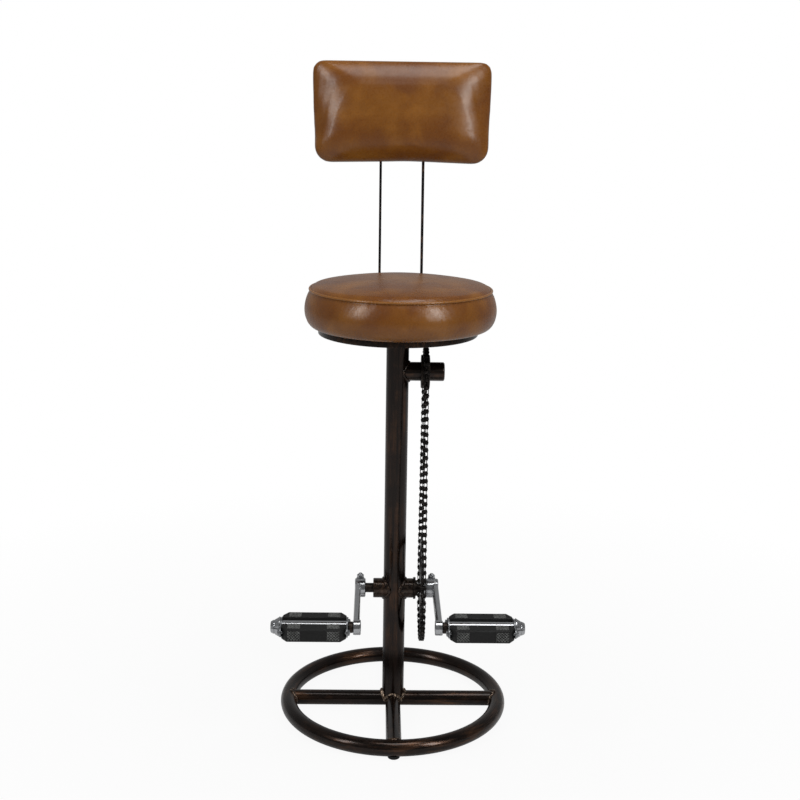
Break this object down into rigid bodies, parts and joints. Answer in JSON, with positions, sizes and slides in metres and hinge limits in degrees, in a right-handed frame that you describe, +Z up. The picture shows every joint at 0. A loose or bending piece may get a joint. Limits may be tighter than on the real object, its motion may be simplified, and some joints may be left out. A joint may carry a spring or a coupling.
{
  "type": "bar stool",
  "caption": "Bar stool with round padded seat, padded backrest on flat uprights, ring base and a footrest of bicycle cranks with turning pedals, chain and freewheel.",
  "frame": {"origin": "on the floor under the middle of the post", "axes": "+Z up along the post, -Y the way the footrest and a sitter's front point, +X towards the chain side"},
  "size_m": [0.4015, 0.4113, 1.0935],
  "materials": {
    "bronze_lacquer": "dark bronze lacquer, rubbed through in places, semi gloss",
    "tan_leather": "waxed and polished, mottled",
    "plywood": "raw",
    "black_rubber": "moulded, matt",
    "oiled_steel": "dark, oiled",
    "worn_chrome": "worn, slightly pitted",
    "zinc_steel": "zinc plated",
    "bearing_steel": "turned"
  },
  "bodies": {
    "frame": {"back_board": "plywood", "back_pad": "tan_leather", "back_plate": "bronze_lacquer", "back_screws": "zinc_steel", "base_ring": "bronze_lacquer", "base_welds": "bronze_lacquer", "bracket_shell": "bronze_lacquer", "chain_inner_links": "oiled_steel", "chain_outer_links": "oiled_steel", "chain_stub": "bronze_lacquer", "chainring": "oiled_steel", "crank_axle": "oiled_steel", "freewheel_body": "oiled_steel", "freewheel_sprocket": "oiled_steel", "front_crossbar": "bronze_lacquer", "glides": "black_rubber", "left_bearing_cup": "bearing_steel", "left_cotter_nut": "worn_chrome", "left_cotter_pin": "worn_chrome", "left_crank": "worn_chrome", "left_pedal_spindle": "zinc_steel", "left_pedal_spindle_nut": "zinc_steel", "left_upright": "bronze_lacquer", "lock_ring": "oiled_steel", "post": "bronze_lacquer", "post_welds": "bronze_lacquer", "rear_crossbar": "bronze_lacquer", "right_bearing_cup": "bearing_steel", "right_cotter_nut": "worn_chrome", "right_cotter_pin": "worn_chrome", "right_crank": "worn_chrome", "right_pedal_spindle": "zinc_steel", "right_pedal_spindle_nut": "zinc_steel", "right_upright": "bronze_lacquer", "seat_board": "plywood", "seat_cushion": "tan_leather", "seat_pan": "bronze_lacquer", "seat_screws": "zinc_steel", "side_crossbar": "bronze_lacquer"},
    "left_pedal": {"left_pedal_barrel": "zinc_steel", "left_pedal_bushes": "bearing_steel", "left_pedal_dust_cap": "worn_chrome", "left_pedal_front_block": "black_rubber", "left_pedal_inner_plate": "zinc_steel", "left_pedal_outer_plate": "zinc_steel", "left_pedal_rear_block": "black_rubber", "left_pedal_tie_rods": "zinc_steel"},
    "right_pedal": {"right_pedal_barrel": "zinc_steel", "right_pedal_bushes": "bearing_steel", "right_pedal_dust_cap": "worn_chrome", "right_pedal_front_block": "black_rubber", "right_pedal_inner_plate": "zinc_steel", "right_pedal_outer_plate": "zinc_steel", "right_pedal_rear_block": "black_rubber", "right_pedal_tie_rods": "zinc_steel"}
  },
  "joints": [
    {"name": "left_pedal_spin", "type": "hinge", "parent": "frame", "child": "left_pedal", "pos_m": [-0.127, -0.17, 0.2195], "axis": [1, 0, 0], "continuous": true},
    {"name": "right_pedal_spin", "type": "hinge", "parent": "frame", "child": "right_pedal", "pos_m": [0.1345, -0.17, 0.2195], "axis": [1, 0, 0], "continuous": true}
  ]
}
